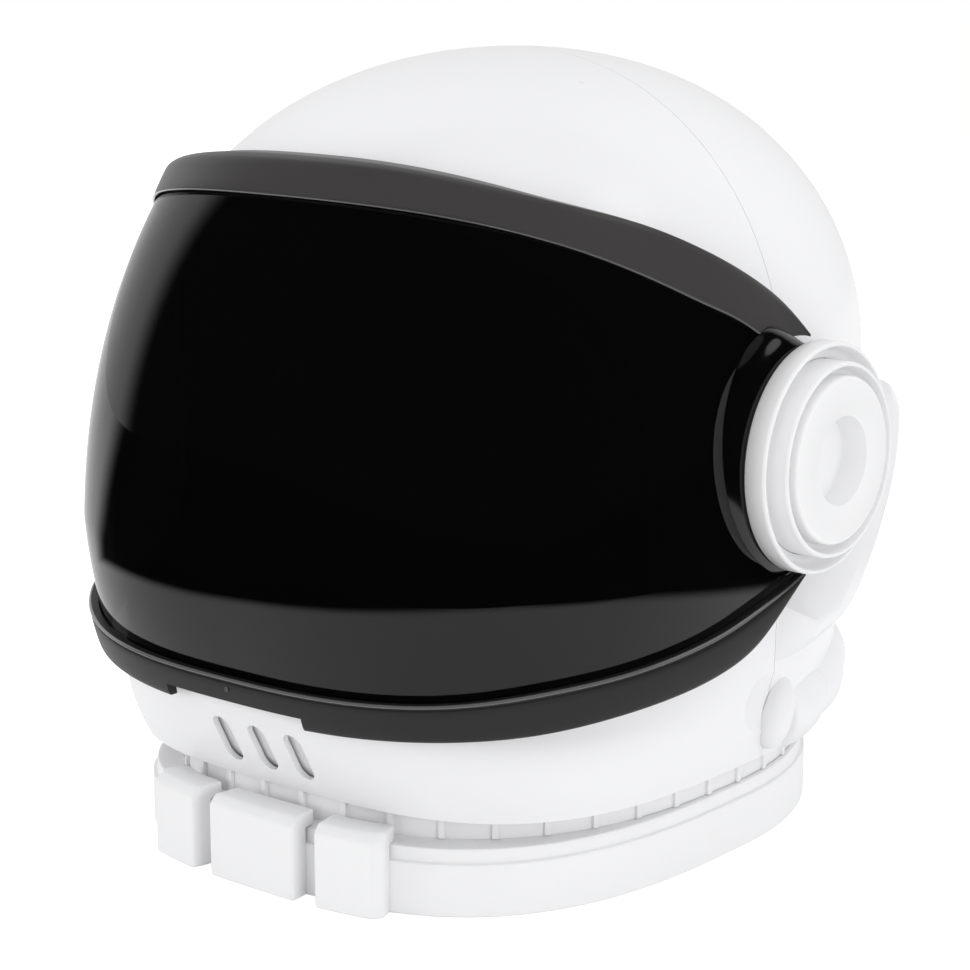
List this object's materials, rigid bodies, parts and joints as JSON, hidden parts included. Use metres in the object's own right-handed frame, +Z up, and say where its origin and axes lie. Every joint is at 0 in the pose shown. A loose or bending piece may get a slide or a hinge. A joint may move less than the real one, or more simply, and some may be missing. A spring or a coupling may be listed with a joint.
{
  "type": "astronaut helmet",
  "caption": "Rounded space costume helmet with a smoked lens visor that swings up on stepped ear hubs, and a neck collar with clamp blocks.",
  "frame": {"origin": "on the symmetry plane, below the visor's pivot axis, in the plane that the collar stands on", "axes": "+Z up, the wearer's face looks along -Y, +X to the wearer's left"},
  "size_m": [0.295, 0.3088, 0.285],
  "materials": {
    "white_shell": "gloss white moulded plastic",
    "white_hub": "satin white moulded plastic",
    "white_collar": "satin white moulded plastic",
    "white_roll": "satin white moulded plastic",
    "smoked_lens": "clear smoked gloss",
    "dark_frame": "dark satin",
    "grey_liner": "matt",
    "foam": "cloth-faced foam",
    "fibre_washer": "matt",
    "steel": "bright zinc plate"
  },
  "bodies": {
    "helmet": {"centre_clamp_block": "white_collar", "chin_vent_liner": "grey_liner", "collar_band": "white_collar", "collar_screws": "steel", "collar_sleeve": "white_collar", "crown_foam_pad": "foam", "front_shell": "white_shell", "left_clamp_block": "white_collar", "left_foam_pad": "foam", "left_friction_washer": "fibre_washer", "left_pivot_boss": "white_shell", "left_pivot_screw": "steel", "left_retaining_washer": "steel", "left_seam_strap": "white_shell", "neck_roll": "white_roll", "neck_roll_caps": "white_roll", "rear_foam_pad": "foam", "rear_shell": "white_shell", "right_clamp_block": "white_collar", "right_foam_pad": "foam", "right_friction_washer": "fibre_washer", "right_pivot_boss": "white_shell", "right_pivot_screw": "steel", "right_retaining_washer": "steel", "right_seam_strap": "white_shell", "seam_screws": "steel"},
    "visor": {"visor_lens": "smoked_lens", "brow_frame": "dark_frame", "lower_rim": "dark_frame", "rim_stop_pin": "steel", "left_hub_flange": "white_hub", "right_hub_flange": "white_hub", "left_hub_ring": "white_hub", "right_hub_ring": "white_hub", "left_hub_cap": "white_hub", "right_hub_cap": "white_hub"}
  },
  "joints": [
    {"name": "visor_swing", "type": "hinge", "parent": "helmet", "child": "visor", "pos_m": [0, 0, 0.149], "axis": [-1, 0, 0], "range_deg": [0, 75]}
  ]
}
